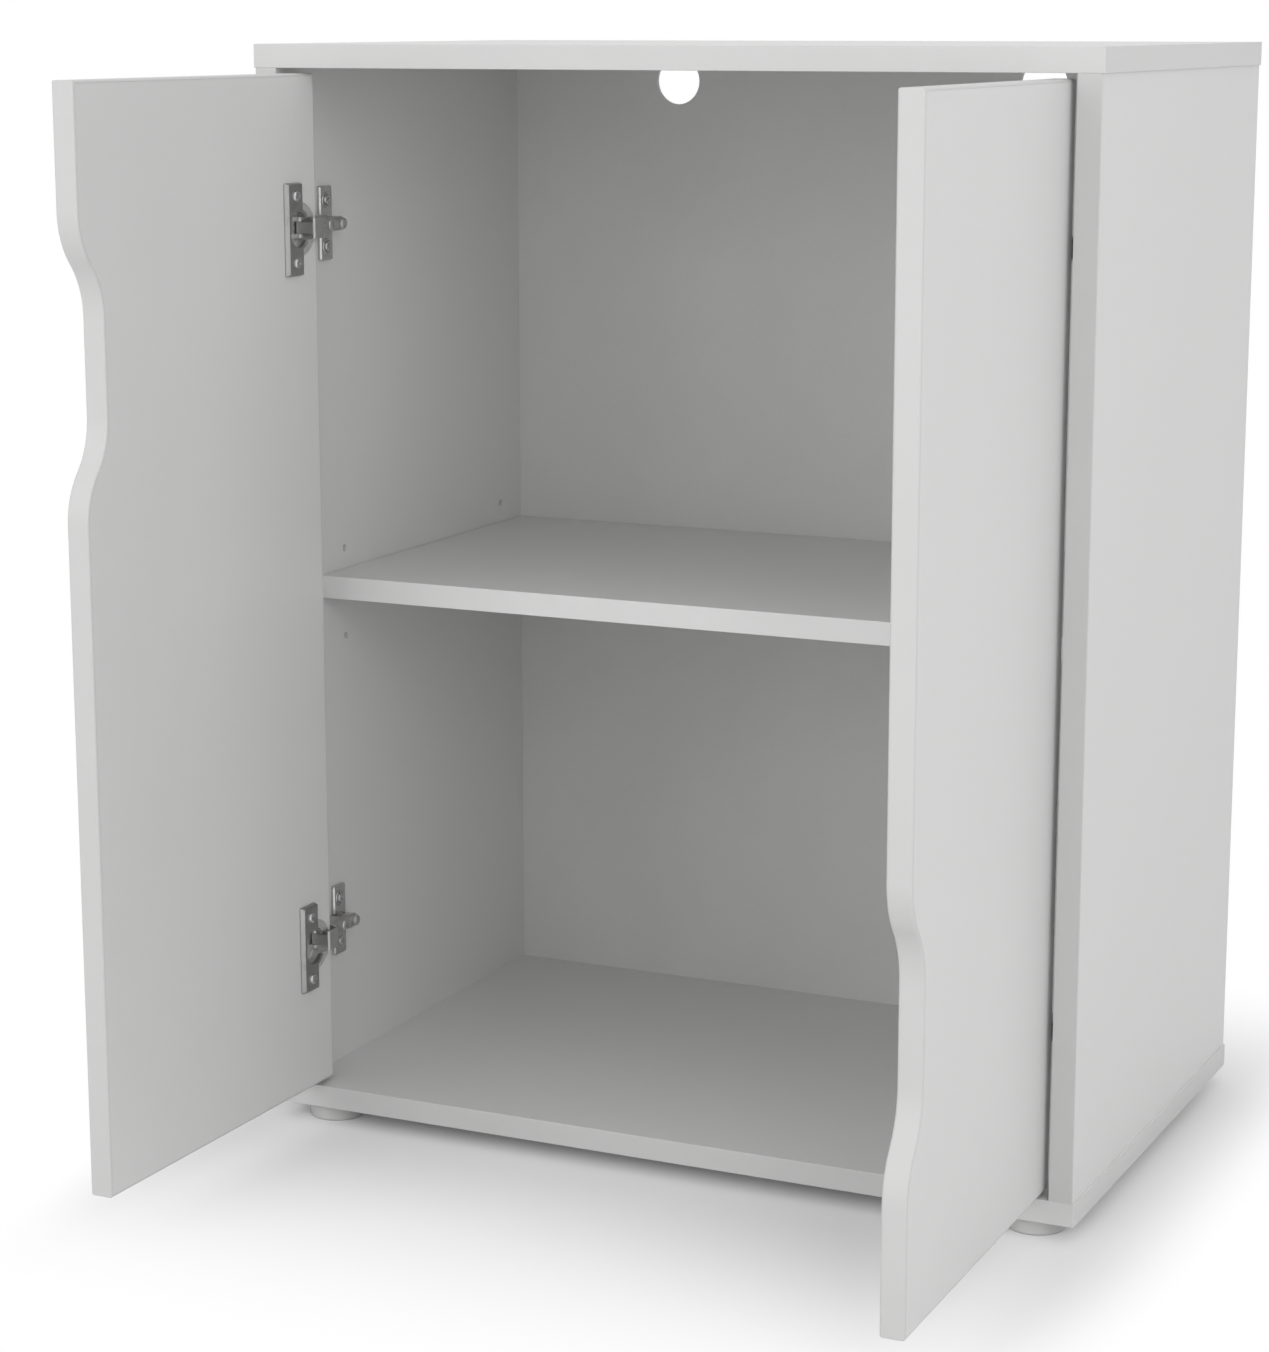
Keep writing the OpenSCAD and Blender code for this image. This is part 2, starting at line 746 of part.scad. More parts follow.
cup_screws("left");  // left_cup_screws
cup_screws("right");  // right_cup_screws
mounting_plate_screws();
arm_fixing_screws();
arm_adjusting_screws();
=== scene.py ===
import json
import math

import bmesh
import bpy
from mathutils import Matrix, Vector


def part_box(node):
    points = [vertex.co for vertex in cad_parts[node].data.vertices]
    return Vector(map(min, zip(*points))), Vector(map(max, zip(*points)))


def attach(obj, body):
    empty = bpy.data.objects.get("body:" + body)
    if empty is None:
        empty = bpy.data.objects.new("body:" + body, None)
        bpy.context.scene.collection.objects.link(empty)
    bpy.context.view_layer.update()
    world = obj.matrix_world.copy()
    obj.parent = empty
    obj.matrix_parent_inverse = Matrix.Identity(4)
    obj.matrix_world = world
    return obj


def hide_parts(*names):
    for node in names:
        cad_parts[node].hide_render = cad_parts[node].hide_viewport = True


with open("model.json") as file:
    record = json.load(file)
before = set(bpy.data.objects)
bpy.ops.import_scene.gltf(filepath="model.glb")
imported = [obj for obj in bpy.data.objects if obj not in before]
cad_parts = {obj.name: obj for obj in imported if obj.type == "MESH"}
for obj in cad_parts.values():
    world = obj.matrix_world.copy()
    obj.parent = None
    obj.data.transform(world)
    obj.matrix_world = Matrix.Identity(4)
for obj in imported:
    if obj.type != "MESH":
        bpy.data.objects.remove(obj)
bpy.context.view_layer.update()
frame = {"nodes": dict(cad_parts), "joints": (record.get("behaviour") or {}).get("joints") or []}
cad = frame["nodes"]
world_scene = bpy.context.scene

# The photographer's view: from the right of the front, with the lens just above the height
# of the top board, so that the top's upper face is seen at a glancing angle.
lens_length, film_height = 86.155, 36
stand_point = (0.88832, -1.96889, 0.78288)
turned_left, tilted_down, rolled = 25.23, 11.52, -0.06
view = bpy.data.cameras.new("photo_view")
view.sensor_fit = "VERTICAL"
view.sensor_height = film_height
view.lens = lens_length
viewer = bpy.data.objects.new("photo_view", view)
world_scene.collection.objects.link(viewer)
viewer.matrix_world = (
    Matrix.Translation(stand_point)
    @ Matrix.Rotation(math.radians(turned_left), 4, "Z")
    @ Matrix.Rotation(math.radians(90 - tilted_down), 4, "X")
    @ Matrix.Rotation(math.radians(rolled), 4, "Z"))
world_scene.camera = viewer


# Carcass boards, shelf and door boards: 16 mm chipboard faced with white melamine paper that
# is pressed with a fine pearl. The boards are dowelled together, and the grooves, dowel holes
# and hinge bores are cut before assembly.
def put(tree, kind, inputs=None, **settings):
    """Adds a node. Each input is another node's output or a plain value."""
    made = tree.nodes.new(kind)
    for key, value in settings.items():
        setattr(made, key, value)
    for socket, value in (inputs or {}).items():
        if hasattr(value, "links"):
            tree.links.new(value, made.inputs[socket])
        else:
            made.inputs[socket].default_value = value
    return made


def number(tree, operation, *values):
    """The result of one maths node."""
    return put(tree, "ShaderNodeMath", dict(enumerate(values)), operation=operation).outputs[0]


def noise(tree, vector, scale, detail, roughness):
    """The result of one noise texture, round 0.5."""
    return put(tree, "ShaderNodeTexNoise",
               {"Vector": vector, "Scale": scale, "Detail": detail,
                "Roughness": roughness}).outputs["Fac"]


def spread(tree, value, low, high, to_low, to_high):
    """A value taken from one range to another."""
    return put(tree, "ShaderNodeMapRange",
               {"Value": value, "From Min": low, "From Max": high,
                "To Min": to_low, "To Max": to_high}).outputs["Result"]


def tinted(tree, colour, tone):
    """A colour made lighter or darker by a factor."""
    return put(tree, "ShaderNodeVectorMath", {0: colour, "Scale": tone},
               operation="SCALE").outputs["Vector"]


def open_group(label, takes, gives):
    """A new surface group: its tree, what it takes and what it gives."""
    tree = bpy.data.node_groups.new(label, "ShaderNodeTree")
    for name, kind, value in takes:
        socket = tree.interface.new_socket(name, in_out="INPUT", socket_type="NodeSocket" + kind)
        if value is not None:
            socket.default_value = value
    for name, kind in gives:
        tree.interface.new_socket(name, in_out="OUTPUT", socket_type="NodeSocket" + kind)
    return tree, put(tree, "NodeGroupInput").outputs, put(tree, "NodeGroupOutput").inputs


def give(tree, given, **results):
    """Links a group's results to its outputs."""
    for socket, source in results.items():
        tree.links.new(source, given[socket])


# Fine pressed or moulded surface: broad clouds of tone, a fine grain, and gloss that drifts
pressed_face, taken, given = open_group(
    "pressed_face",
    [("Vector", "Vector", None), ("Colour", "Color", (0.7, 0.7, 0.7, 1)),
     ("Cloud Size", "Float", 0.2), ("Cloud Depth", "Float", 0.03),
     ("Grain Size", "Float", 0.0008), ("Grain Tone", "Float", 0.02),
     ("Gloss", "Float", 0.4), ("Gloss Drift", "Float", 0.08)],
    [("Colour", "Color"), ("Roughness", "Float"), ("Height", "Float")])
per_cloud = number(pressed_face, "DIVIDE", 1.0, taken["Cloud Size"])
per_grain = number(pressed_face, "DIVIDE", 1.0, taken["Grain Size"])
cloud = noise(pressed_face, taken["Vector"], per_cloud, detail=4.0, roughness=0.55)
grain = noise(pressed_face, taken["Vector"], per_grain, detail=2.0, roughness=0.6)
cloud_low = number(pressed_face, "SUBTRACT", 1.0, taken["Cloud Depth"])
cloud_high = number(pressed_face, "ADD", 1.0, taken["Cloud Depth"])
cloud_tone = spread(pressed_face, cloud, 0.3, 0.7, cloud_low, cloud_high)
grain_mid = number(pressed_face, "SUBTRACT", grain, 0.5)
grain_part = number(pressed_face, "MULTIPLY", grain_mid, taken["Grain Tone"])
tone = number(pressed_face, "ADD", cloud_tone, grain_part)
toned = tinted(pressed_face, taken["Colour"], tone)
drift = number(pressed_face, "SUBTRACT", cloud, 0.5)
gloss = number(pressed_face, "MULTIPLY_ADD", drift, taken["Gloss Drift"], taken["Gloss"])
give(pressed_face, given, Colour=toned, Roughness=gloss, Height=grain)


def finish_material(label, group, values, relief, metallic=0.0):
    """A material whose colour, gloss and relief come from one of the surface groups."""
    made = bpy.data.materials.new(label)
    made.use_nodes = True
    tree = made.node_tree
    surface = tree.nodes["Principled BSDF"]
    place = put(tree, "ShaderNodeTexCoord")
    face = put(tree, "ShaderNodeGroup", node_tree=group)
    tree.links.new(place.outputs["Object"], face.inputs["Vector"])
    for name, value in values.items():
        face.inputs[name].default_value = value
    bump = put(tree, "ShaderNodeBump",
               {"Height": face.outputs["Height"], "Strength": 1.0, "Distance": relief})
    tree.links.new(face.outputs["Colour"], surface.inputs["Base Color"])
    tree.links.new(face.outputs["Roughness"], surface.inputs["Roughness"])
    tree.links.new(bump.outputs["Normal"], surface.inputs["Normal"])
    surface.inputs["Metallic"].default_value = metallic
    return made


def dress(names, material):
    """Gives CAD nodes that keep their own mesh their finished material."""
    for name in names:
        mesh = cad[name].data
        mesh.materials.clear()
        mesh.materials.append(material)


white_melamine = finish_material(
    "white_melamine", pressed_face,
    {"Colour": (0.700, 0.700, 0.697, 1), "Cloud Size": 0.22, "Cloud Depth": 0.012,
     "Grain Size": 0.0011, "Grain Tone": 0.03, "Gloss": 0.42, "Gloss Drift": 0.10},
    relief=0.00004)
dress(["top_panel", "bottom_panel", "left_side_panel", "right_side_panel", "shelf",
       "left_door_panel", "right_door_panel"], white_melamine)


# Carcass edge bands: 1 mm white plastic band, glued round each board, flush with its faces and
# rounded on its outer arrises. A hairline shows where the band meets the melamine.
def band_white(label, tone, gloss=0.36):
    """One copy of the white band at a given tone. The side, shelf and door bands are set lighter or
    darker than the carcass band: painted shade on the side and door bands, painted light on the
    shelf's.
    """
    return finish_material(
        label, pressed_face,
        {"Colour": (tone, tone, tone - 0.003, 1), "Cloud Size": 0.09, "Cloud Depth": 0.014,
         "Grain Size": 0.0006, "Grain Tone": 0.02, "Gloss": gloss, "Gloss Drift": 0.08},
        relief=0.00002)


white_band = band_white("white_edge_band", 0.635)
# The side boards' bands are set darker than the other carcass bands: painted shade, where the open
# doors shade the boards' front edges.
side_band_painted_shade = band_white("side_edge_band", 0.580)
# The shelf's band is set lighter than the other carcass bands: painted light on the shelf's front
# edge.
shelf_band_painted_light = band_white("shelf_edge_band", 0.770)
mm = 0.001
weld = 2e-6
board = 16
carcass_low = Vector(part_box("bottom_edge_band")[0]) / mm
carcass_high = Vector(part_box("top_edge_band")[1]) / mm
carcass_band = 1
carcass_round = 0.4


def piece(label, solid, material, body, stands_for, place=None, sharp=32):
    """A finished solid, in millimetres, put in its place and joined to its body."""
    points, faces = solid
    mesh = bpy.data.meshes.new(label)
    turn = Matrix.Scale(mm, 4) if place is None else Matrix.Scale(mm, 4) @ place
    mesh.from_pydata([turn @ Vector(p) for p in points], [], faces)
    shape = bmesh.new()
    shape.from_mesh(mesh)
    bmesh.ops.remove_doubles(shape, verts=shape.verts, dist=weld)
    bmesh.ops.dissolve_degenerate(shape, edges=shape.edges, dist=weld)
    bmesh.ops.recalc_face_normals(shape, faces=shape.faces)
    shape.to_mesh(mesh)
    shape.free()
    mesh.shade_smooth()
    mesh.set_sharp_from_angle(angle=math.radians(sharp))
    mesh.materials.append(material)
    made = bpy.data.objects.new(label + "_detail", mesh)
    world_scene.collection.objects.link(made)
    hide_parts(*stands_for)
    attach(made, body)
    return made


def arc(centre, radius, start, end, steps):
    """Points on an arc, with both ends, in degrees."""
    turn = [math.radians(start + (end - start) * k / steps) for k in range(steps + 1)]
    return [(centre[0] + radius * math.cos(a), centre[1] + radius * math.sin(a)) for a in turn]


def band_section(thick, band, radius):
    """The band's section: (distance in from the edge, height), closed, with its glue hairline."""
    seam = 0.12
    # Points beside each rounded arris, which keep the faces next to it flat in the shading
    lead = 0.25
    low = arc((radius, radius), radius, 270, 180, 6)
    high = arc((radius, thick - radius), radius, 180, 90, 6)
    flat = min(lead, (band - radius) / 2)
    return ([(band, seam), (band - seam, 0), (radius + flat / 4, 0)] + low
            + [(0, radius + lead), (0, thick - radius - lead)] + high
            + [(radius + flat / 4, thick), (band - seam, thick), (band, thick - seam)])


def loft(rings, closed=True, caps=True):
    """Joins rings of equal length, each a closed loop: the last one to the first, or, where
    they aren't closed, with a cap on either end."""
    count = len(rings[0])
    points = [p for ring in rings for p in ring]
    steps = len(rings) if closed else len(rings) - 1
    faces = [(a * count + k, a * count + (k + 1) % count,
              (a + 1) % len(rings) * count + (k + 1) % count, (a + 1) % len(rings) * count + k)
             for a in range(steps) for k in range(count)]
    if caps and not closed:
        faces += [tuple(reversed(range(count))),
                  tuple(range(len(points) - count, len(points)))]
    return points, faces


def rounded_rectangle(low, high, inset, radius):
    """A rectangle drawn in by an inset, with small rounded corners, as a loop of points."""
    r = max(radius - inset, 0.02)
    x0, y0, x1, y1 = low[0] + inset, low[1] + inset, high[0] - inset, high[1] - inset
    return (arc((x1 - r, y1 - r), r, 0, 90, 5) + arc((x0 + r, y1 - r), r, 90, 180, 5)
            + arc((x0 + r, y0 + r), r, 180, 270, 5) + arc((x1 - r, y0 + r), r, 270, 360, 5))


for name, z in (("top_edge_band", carcass_high.z - board), ("bottom_edge_band", carcass_low.z)):
    rings = [[(x, y, z + h) for x, y in
              rounded_rectangle(carcass_low, carcass_high, inset, carcass_band)]
             for inset, h in band_section(board, carcass_band, carcass_round)]
    piece(name, loft(rings), white_band, "cabinet", [name])


def edge_strip(low, high, front, inward, along):
    """A straight band, from its outer face at y = front, running up or across the carcass."""
    thick = high.x - low.x if along == "z" else high.z - low.z
    section = band_section(thick, carcass_band, carcass_round)
    if along == "z":
        rings = [[(low.x + w, front + inward * d, z) for d, w in section]
                 for z in (low.z, high.z)]
    else:
        rings = [[(x, front + inward * d, low.z + w) for d, w in section]
                 for x in (low.x, high.x)]
    return loft(rings, closed=False)


def joined(parts):
    """Several shapes as one list of points and faces."""
    points, faces = [], []
    for some_points, some_faces in parts:
        faces += [tuple(k + len(points) for k in face) for face in some_faces]
        points += list(some_points)
    return points, faces


for side in ("left", "right"):
    low, high = (Vector(c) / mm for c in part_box(side + "_side_edge_bands"))
    strips = joined([edge_strip(low, high, low.y, 1, "z"), edge_strip(low, high, high.y, -1, "z")])
    piece(side + "_side_edge_bands", strips, side_band_painted_shade, "cabinet",
          [side + "_side_edge_bands"])

low, high = (Vector(c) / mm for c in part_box("shelf_edge_band"))
piece("shelf_edge_band", edge_strip(low, high, low.y, 1, "x"), shelf_band_painted_light, "cabinet",
      ["shelf_edge_band"])


# Back panel: 3 mm hardboard, lacquered white on its smooth face, let into grooves all round,
# with two round cable holes sawn under the top board.
white_hardboard = finish_material(
    "white_hardboard", pressed_face,
    {"Colour": (0.66, 0.66, 0.655, 1), "Cloud Size": 0.14, "Cloud Depth": 0.03,
     "Grain Size": 0.0022, "Grain Tone": 0.06, "Gloss": 0.55, "Gloss Drift": 0.12},
    relief=0.00008)
dress(["back_panel"], white_hardboard)


# Dowels: fluted beech, glued into the side boards and into the top and bottom boards. They
# are hidden once the carcass is together.
beech_wood = finish_material(
    "beech_dowel", pressed_face,
    {"Colour": (0.72, 0.56, 0.38, 1), "Cloud Size": 0.012, "Cloud Depth": 0.16,
     "Grain Size": 0.0009, "Grain Tone": 0.22, "Gloss": 0.7, "Gloss Drift": 0.1},
    relief=0.00012)
dress(["top_dowels", "bottom_dowels"], beech_wood)


# Glides: moulded in pale grey plastic, a shallow drum with a rounded foot, a fine groove under
# its rim and a recess underneath for the one screw that holds it.
pale_plastic = finish_material(
    "pale_glide_plastic", pressed_face,
    {"Colour": (0.58, 0.58, 0.575, 1), "Cloud Size": 0.03, "Cloud Depth": 0.03,
     "Grain Size": 0.0005, "Grain Tone": 0.05, "Gloss": 0.48, "Gloss Drift": 0.1},
    relief=0.00003)
glides = ("glide_front_left", "glide_front_right", "glide_back_left", "glide_back_right")
glide_high, glide_rim, glide_foot, glide_round = 13, 21, 20.1, 2.0
glide_seat, recess_radius, screw_bore = 8, 6, 1.8


def turned(profile, steps, axis=(0, 0)):
    """A profile of (radius, height) turned about an upright axis; it is closed on itself or
    ends on the axis."""
    rings = [[(axis[0] + r * math.cos(a), axis[1] + r * math.sin(a), h)
              for a in (2 * math.pi * k / steps for k in range(steps))] for r, h in profile]
    on_axis = profile[0][0] < weld and profile[-1][0] < weld
    return loft(rings, closed=not on_axis, caps=False)


# From the bore out over the top and the groove, round the foot and up the recess to the seat
glide_profile = (
    [(screw_bore, glide_high), (glide_rim - 0.4, glide_high), (glide_rim, glide_high - 0.4),
     (20.95, 11.2), (20.7, 10.95), (20.7, 10.55), (20.9, 10.3)]
    + arc((glide_foot - glide_round, glide_round), glide_round, 0, -90, 6)
    + [(recess_radius + 1, 0)] + arc((recess_radius + 1, 1.0), 1.0, 270, 180, 4)
    + [(recess_radius, glide_seat - 0.6), (recess_radius - 0.6, glide_seat),
       (screw_bore, glide_seat)])
for name in glides:
    low, high = (Vector(c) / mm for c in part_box(name))
    middle = ((low.x + high.x) / 2, (low.y + high.y) / 2)
    piece(name, turned(glide_profile, 96, middle), pale_plastic, "cabinet", [name])


# Shelf supports: zinc-plated pegs with a flat tongue, pushed into the drilled rows. The shelf
# lies loose on their tongues.
plated_metal, taken, given = open_group(
    "plated_metal",
    [("Vector", "Vector", None), ("Colour", "Color", (0.6, 0.6, 0.6, 1)),
     ("Streak Size", "Float", 0.0004), ("Streak Tone", "Float", 0.05),
     ("Gloss", "Float", 0.2), ("Gloss Drift", "Float", 0.1), ("Dull Patches", "Float", 0.15)],
    [("Colour", "Color"), ("Roughness", "Float"), ("Height", "Float")])
drawn_out = (1.0, 1.0, 0.08)
patches_per_metre = 140.0
per_streak = number(plated_metal, "DIVIDE", 1.0, taken["Streak Size"])
drawn = put(plated_metal, "ShaderNodeMapping", {"Vector": taken["Vector"], "Scale": drawn_out})
streak = noise(plated_metal, drawn.outputs[0], per_streak, detail=3.0, roughness=0.6)
patch = noise(plated_metal, taken["Vector"], patches_per_metre, detail=4.0, roughness=0.6)
dull = spread(plated_metal, patch, 0.5, 0.72, 0.0, taken["Dull Patches"])
streak_mid = number(plated_metal, "SUBTRACT", streak, 0.5)
streak_part = number(plated_metal, "MULTIPLY_ADD", streak_mid, taken["Streak Tone"], 1.0)
tone = number(plated_metal, "SUBTRACT", streak_part, dull)
toned = tinted(plated_metal, taken["Colour"], tone)
gloss = number(plated_metal, "MULTIPLY_ADD", streak_mid, taken["Gloss Drift"], taken["Gloss"])
worn = number(plated_metal, "ADD", gloss, dull)
give(plated_metal, given, Colour=toned, Roughness=worn, Height=streak)

bright_zinc = finish_material(
    "bright_zinc", plated_metal,
    {"Colour": (0.66, 0.67, 0.68, 1), "Streak Size": 0.0005, "Streak Tone": 0.12,
     "Gloss": 0.26, "Gloss Drift": 0.16, "Dull Patches": 0.12},
    relief=0.00002, metallic=1.0)
dress(["shelf_supports"], bright_zinc)


# Doors: the same melamine board, with a wave sawn into the free edge as a handle and a 2 mm
# plastic band that follows it. Both doors are one board, the right one turned over.
door_band = 2
door_round = 1.8
door_corner = 1.2
door_wide, door_tall, door_low = 277.02, 713, 32.5
cut_deep, cut_long, cut_flat, cut_from_end = 24, 194, 62, 176.5
cut_radius = (((cut_long - cut_flat) / 2) ** 2 + cut_deep ** 2) / (4 * cut_deep)
hinge = {j["child"]: j for j in frame["joints"]}
pivot_from_edge, pivot_from_front = 7.8, 7
open_degrees = 90.8


def door_place(side):
    """From a closed door's own plane (along, up, out of the inner face) to where it stands
    open, in millimetres. The right door is the left one's mirror image."""
    at = Vector(hinge[side + "_door"]["pos_m"]) / mm
    hand = 1 if side == "left" else -1
    upright = Matrix(((1, 0, 0, -pivot_from_edge), (0, 0, 1, board - pivot_from_front),
                      (0, 1, 0, 0), (0, 0, 0, 1)))
    swing = Matrix.Rotation(math.radians(-open_degrees), 4, "Z")
    mirror = Matrix.Diagonal((hand, 1, 1, 1))
    return Matrix.Translation((at.x, at.y, 0)) @ mirror @ swing @ upright


def door_outline(inset, cut_middle):
    """The door's outline, drawn in by an inset, as a loop of points."""
    lean = math.degrees(math.atan2((cut_long - cut_flat) / 2, 2 * cut_radius - cut_deep))
    r = max(door_corner - inset, 0.02)
    x1, y0, y1 = door_wide - inset, inset, door_tall - inset
    crest = (door_wide - cut_radius, cut_middle - cut_long / 2)
    hollow = (door_wide - cut_deep + cut_radius, cut_middle - cut_flat / 2)
    lower = (arc(crest, cut_radius - inset, 0, lean, 24)
             + arc(hollow, cut_radius + inset, 180 + lean, 180, 24)[1:])
    upper = [(x, 2 * cut_middle - y) for x, y in reversed(lower)]
    return (arc((x1 - r, y0 + r), r, -90, 0, 5) + lower + upper + arc((x1 - r, y1 - r), r, 0, 90, 5)
            + arc((inset + r, y1 - r), r, 90, 180, 5) + arc((inset + r, y0 + r), r, 180, 270, 5))


# The door bands' white is set darker than the carcass band's: painted shade on the doors' free
# edges.
door_band_painted_shade = band_white("painted_shade_door_band", 0.600, gloss=0.40)
for side in ("left", "right"):
    cut_middle = door_tall - cut_from_end if side == "left" else cut_from_end
    rings = [[(x, door_low + y, h - board) for x, y in door_outline(inset, cut_middle)]
             for inset, h in band_section(board, door_band, door_round)]
    piece(side + "_door_edge_band", loft(rings), door_band_painted_shade, side + "_door",
          [side + "_door_edge_band"], place=door_place(side))


# Hinge cups: a satin pot with a rolled rim and a flat collar, pressed into the door's bore, under
# a bright cast flange with a C-shaped ring that leaves the arm's way free. Both are
# nickel-plated, and the pot's two lugs carry the pivot pin.
bright_nickel = finish_material(
    "bright_nickel", plated_metal,
    {"Colour": (0.44, 0.437, 0.43, 1), "Streak Size": 0.0006, "Streak Tone": 0.16,
     "Gloss": 0.33, "Gloss Drift": 0.18, "Dull Patches": 0.12},
    relief=0.00001, metallic=1.0)
drawn_steel = finish_material(
    "drawn_steel", plated_metal,
    {"Colour": (0.86, 0.86, 0.85, 1), "Streak Size": 0.0009, "Streak Tone": 0.10,
     "Gloss": 0.50, "Gloss Drift": 0.14, "Dull Patches": 0.04},
    relief=0.00001, metallic=1.0)
dress(["left_hinge_pins", "right_hinge_pins"], bright_nickel)
hinge_from_end = 104
hinge_heights = {"upper": door_low + door_tall - hinge_from_end, "lower": door_low + hinge_from_end}
cup_middle = 21.5
pot_radius, pot_inside, pot_deep, pot_floor = 17.45, 16.65, 12.5, 0.8
rim_radius, rim_round = 18.1, 0.5
lug_near, lug_far, lug_radius, lug_foot = 4.3, 7.2, 2.6, 12.2
flange_near, flange_far, flange_half, flange_thick = 22.9, 41.75, 31.5, 3.5
mouth_middle, mouth_radius, mouth_stretch, ring_radius, arm_way = 27.6, 10.8, 1.3, 13.0, 7.7


def mouth(radius):
    """The flange's opening, from one side of the arm's way round to the other."""
    reach = arm_way - mouth_stretch
    turn = 180 - math.degrees(math.asin(reach / radius))
    return (arc((mouth_middle, mouth_stretch), radius, turn, 0, 24)
            + arc((mouth_middle, -mouth_stretch), radius, 0, -turn, 24))


def hinge_pot():
    """The pot, the collar inside its rim and the two lugs, from the door's inner face."""
    pot = ([(0, -pot_deep)] + arc((pot_radius - 1.2, -pot_deep + 1.2), 1.2, -90, 0, 4)
           + [(pot_radius, 0), (rim_radius, 0), (rim_radius, rim_round)]
           + arc((rim_radius - rim_round, rim_round), rim_round, 0, 90, 4)
           + arc((pot_inside + rim_round, rim_round), rim_round, 90, 180, 4)
           + arc((pot_inside - 2, pot_floor + 2 - pot_deep), 2.0, 0, -90, 6)
           + [(0, pot_floor - pot_deep)])
    parts = [turned(pot, 96, (cup_middle, 0))]
    edge = pot_inside + 0.2
    turn = math.degrees(math.asin(arm_way / edge))
    collar = arc((cup_middle, 0), edge, -180 + turn, 180 - turn, 72) + mouth(mouth_radius + 0.4)
    parts.append(loft([[(x, y, h) for x, y in collar] for h in (0.1, 0.9)], closed=False))
    lug = (arc((pivot_from_edge, pivot_from_front - board), lug_radius, 0, 180, 12)
           + [(pivot_from_edge - 2.1, -lug_foot), (pivot_from_edge + lug_radius, -lug_foot)])
    for hand in (-1, 1):
        parts.append(loft([[(x, hand * y, w) for x, w in lug] for y in (lug_near, lug_far)],
                          closed=False))
    return joined(parts)


def hinge_flange():
    """The flange, from its straight wing edge round the ring, rising in four levels."""
    corner = 1.5

    def outline(far_in, end_in, grow):
        ring, hole = ring_radius - grow, mouth_radius + grow
        near, far, end = flange_near + grow / 2, flange_far - far_in, flange_half - end_in
        shoulder = math.degrees(math.acos((near - mouth_middle) / ring))
        tip = 180 - math.degrees(math.asin((arm_way - mouth_stretch) / ring))
        upper = arc((mouth_middle, mouth_stretch), ring, shoulder, tip, 10)
        return ([(near, -end)] + arc((far - corner, -end + corner), corner, -90, 0, 5)
                + arc((far - corner, end - corner), corner, 0, 90, 5) + [(near, end)]
                + upper + mouth(hole) + [(x, -y) for x, y in reversed(upper)])

    levels = ((0.02, (0, 0, 0)), (0.9, (0, 0, 0)), (flange_thick - 0.3, (1.45, 0.9, 0)),
              (flange_thick, (1.75, 1.2, 0.3)))
    return loft([[(x, y, h) for x, y in outline(*drawn_in)] for h, drawn_in in levels],
                closed=False)


def rounded(target, width, steps=3, angle=38):
    """Rounds a pressed or cast piece's arrises."""
    bevel = target.modifiers.new("arrises", "BEVEL")
    bevel.width = width * mm
    bevel.segments = steps
    bevel.limit_method = "ANGLE"
    bevel.angle_limit = math.radians(angle)
    bevel.harden_normals = True


for side in ("left", "right"):
    for level, height in hinge_heights.items():
        name = f"{side}_{level}_hinge_cup"
        at = door_place(side) @ Matrix.Translation((0, height, 0))
        piece(name, hinge_pot(), drawn_steel, side + "_door", [name],
              place=at)
        piece(f"{side}_{level}_hinge_flange", hinge_flange(), bright_nickel, side + "_door",
              [name], place=at, sharp=28)


# Mounting plates: polished cast wings screwed to the side board, each screw in a low collar,
# with the bridge that the arm sits on.
polished_nickel = finish_material(
    "polished_nickel", plated_metal,
    {"Colour": (0.60, 0.597, 0.59, 1), "Streak Size": 0.0006, "Streak Tone": 0.16,
     "Gloss": 0.17, "Gloss Drift": 0.14, "Dull Patches": 0.14},
    relief=0.00001, metallic=1.0)
side_face = Vector(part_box("right_side_panel")[0]).x / mm
front = carcass_low.y
plate_middle, plate_half_wide, plate_half_long, wing_thick = 58.5, 8, 26, 3
wing_corner, plate_screw_up = 1.5, 16
bridge_near, bridge_far, bridge_half, bridge_high = 29.2, 67, 3.3, 11.3
lifted = 0.01


def side_place(side, height):
    """From a hinge's own measures (height above the side board, distance behind the front, up)
    to its place, in millimetres."""
    hand = 1 if side == "left" else -1
    return (Matrix.Translation((-hand * side_face, front, height))
            @ Matrix.Diagonal((hand, 1, 1, 1)))


def upright_plate(outline, low, high):
    """A plate parallel to the side board: its outline is (behind the front, up)."""
    return loft([[(h, y, z) for y, z in outline] for h in (low, high)], closed=False)


def pressed_collar(level):
    """A low round collar on a wing, round its screw."""
    profile = [(4.1, -0.5), (5.8, -0.5), (5.8, 0.1), (5.3, 0.6), (4.6, 0.6), (4.1, 0.2)]
    points, faces = turned(profile, 48)
    return [(wing_thick + h, plate_middle + y, level + z) for z, y, h in points], faces


def mounting_plate():
    """Both wings with their sloped near edge, the bridge and the two collars."""
    bridge = [(bridge_near, -bridge_half), (bridge_far, -bridge_half),
              (bridge_far, bridge_half), (bridge_near, bridge_half)]
    wings = [[(h, y, z) for y, z in rounded_rectangle(
        (plate_middle - plate_half_wide + lead, -plate_half_long + trim),
        (plate_middle + plate_half_wide - trim, plate_half_long - trim), 0, wing_corner)]
        for h, lead, trim in ((lifted, 0, 0), (1.7, 0, 0), (wing_thick, 1.1, 0.4))]
    return joined([loft(wings, closed=False), upright_plate(bridge, lifted, bridge_high),
                   pressed_collar(plate_screw_up), pressed_collar(-plate_screw_up)])


for side in ("left", "right"):
    for level, height in hinge_heights.items():
        name = f"{side}_{level}_mounting_plate"
        made = piece(name, mounting_plate(), polished_nickel, "cabinet",
                     [name], place=side_place(side, height))
        rounded(made, 0.4)


